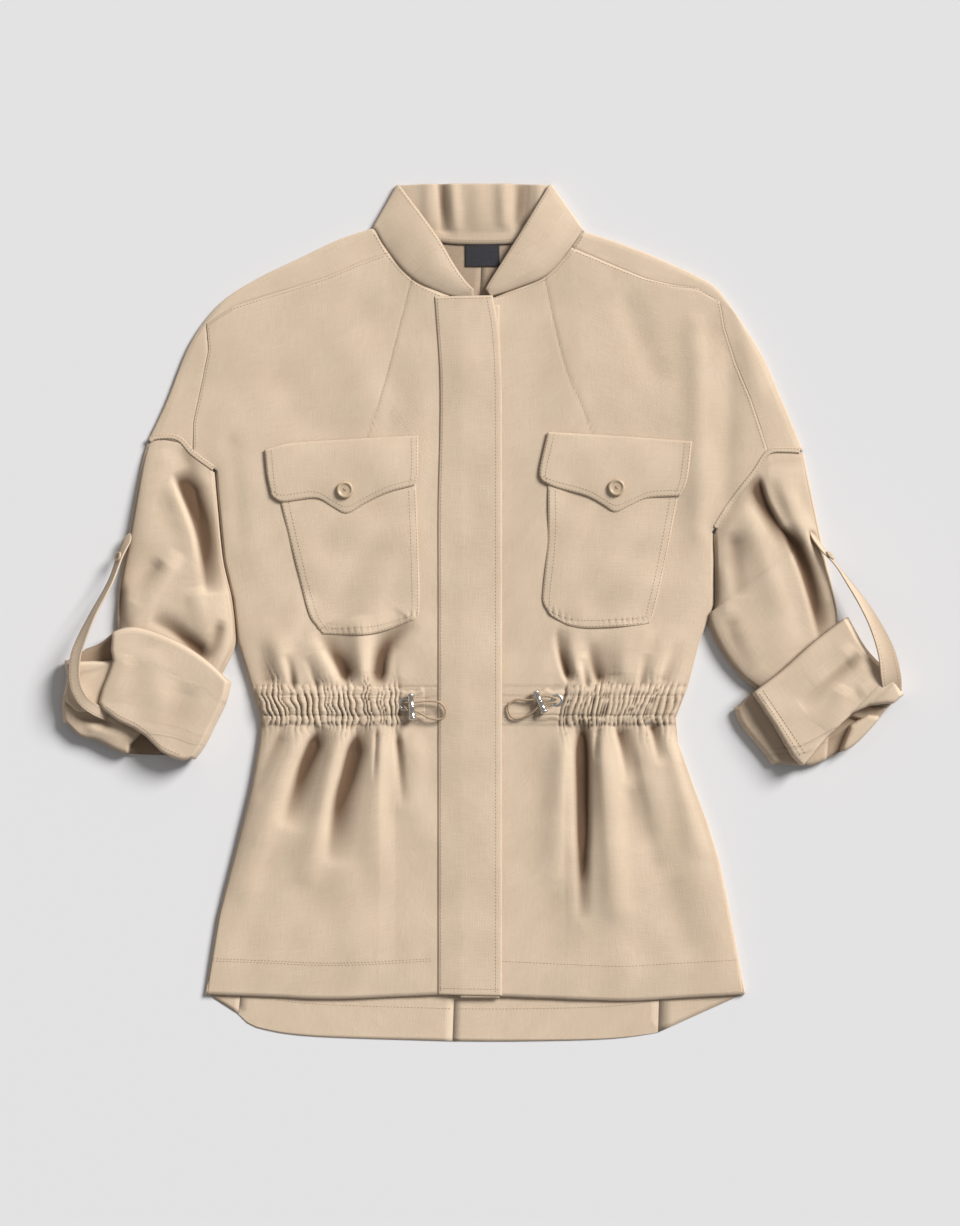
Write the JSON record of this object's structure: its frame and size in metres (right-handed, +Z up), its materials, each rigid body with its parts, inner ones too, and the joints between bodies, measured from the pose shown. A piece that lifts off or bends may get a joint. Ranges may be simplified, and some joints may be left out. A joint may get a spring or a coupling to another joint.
{
  "type": "safari jacket",
  "caption": "Beige safari jacket laid flat: stand collar, covered front, flap pockets, drawn waist with cord locks and rolled sleeves held by buttoned straps.",
  "frame": {"origin": "centre of the laid jacket's outline, on the surface that it lies on", "axes": "+Z up from the surface, +Y up the body towards the collar, +X to the right as seen from above"},
  "size_m": [0.7066, 0.7282, 0.0285],
  "materials": {
    "linen": "matt washed linen, sand beige",
    "buttons": "horn-like beige, softly polished",
    "metal": "polished nickel",
    "cord": "khaki elastic cord",
    "label": "bare dark woven label"
  },
  "bodies": {
    "root": {"back_left": "linen", "back_right": "linen", "collar": "linen", "cord_left": "cord", "cord_lock_left": "metal", "cord_lock_right": "metal", "cord_right": "cord", "cuff_left": "linen", "cuff_right": "linen", "eyelet_left": "metal", "eyelet_right": "metal", "flap_button_left": "buttons", "flap_button_right": "buttons", "flap_left": "linen", "flap_right": "linen", "front_left": "linen", "front_right": "linen", "neck_label": "label", "placket": "linen", "pocket_left": "linen", "pocket_right": "linen", "sleeve_left": "linen", "sleeve_right": "linen", "tab_button_left": "buttons", "tab_button_right": "buttons", "tab_left": "linen", "tab_right": "linen", "underlap": "linen"}
  },
  "joints": []
}
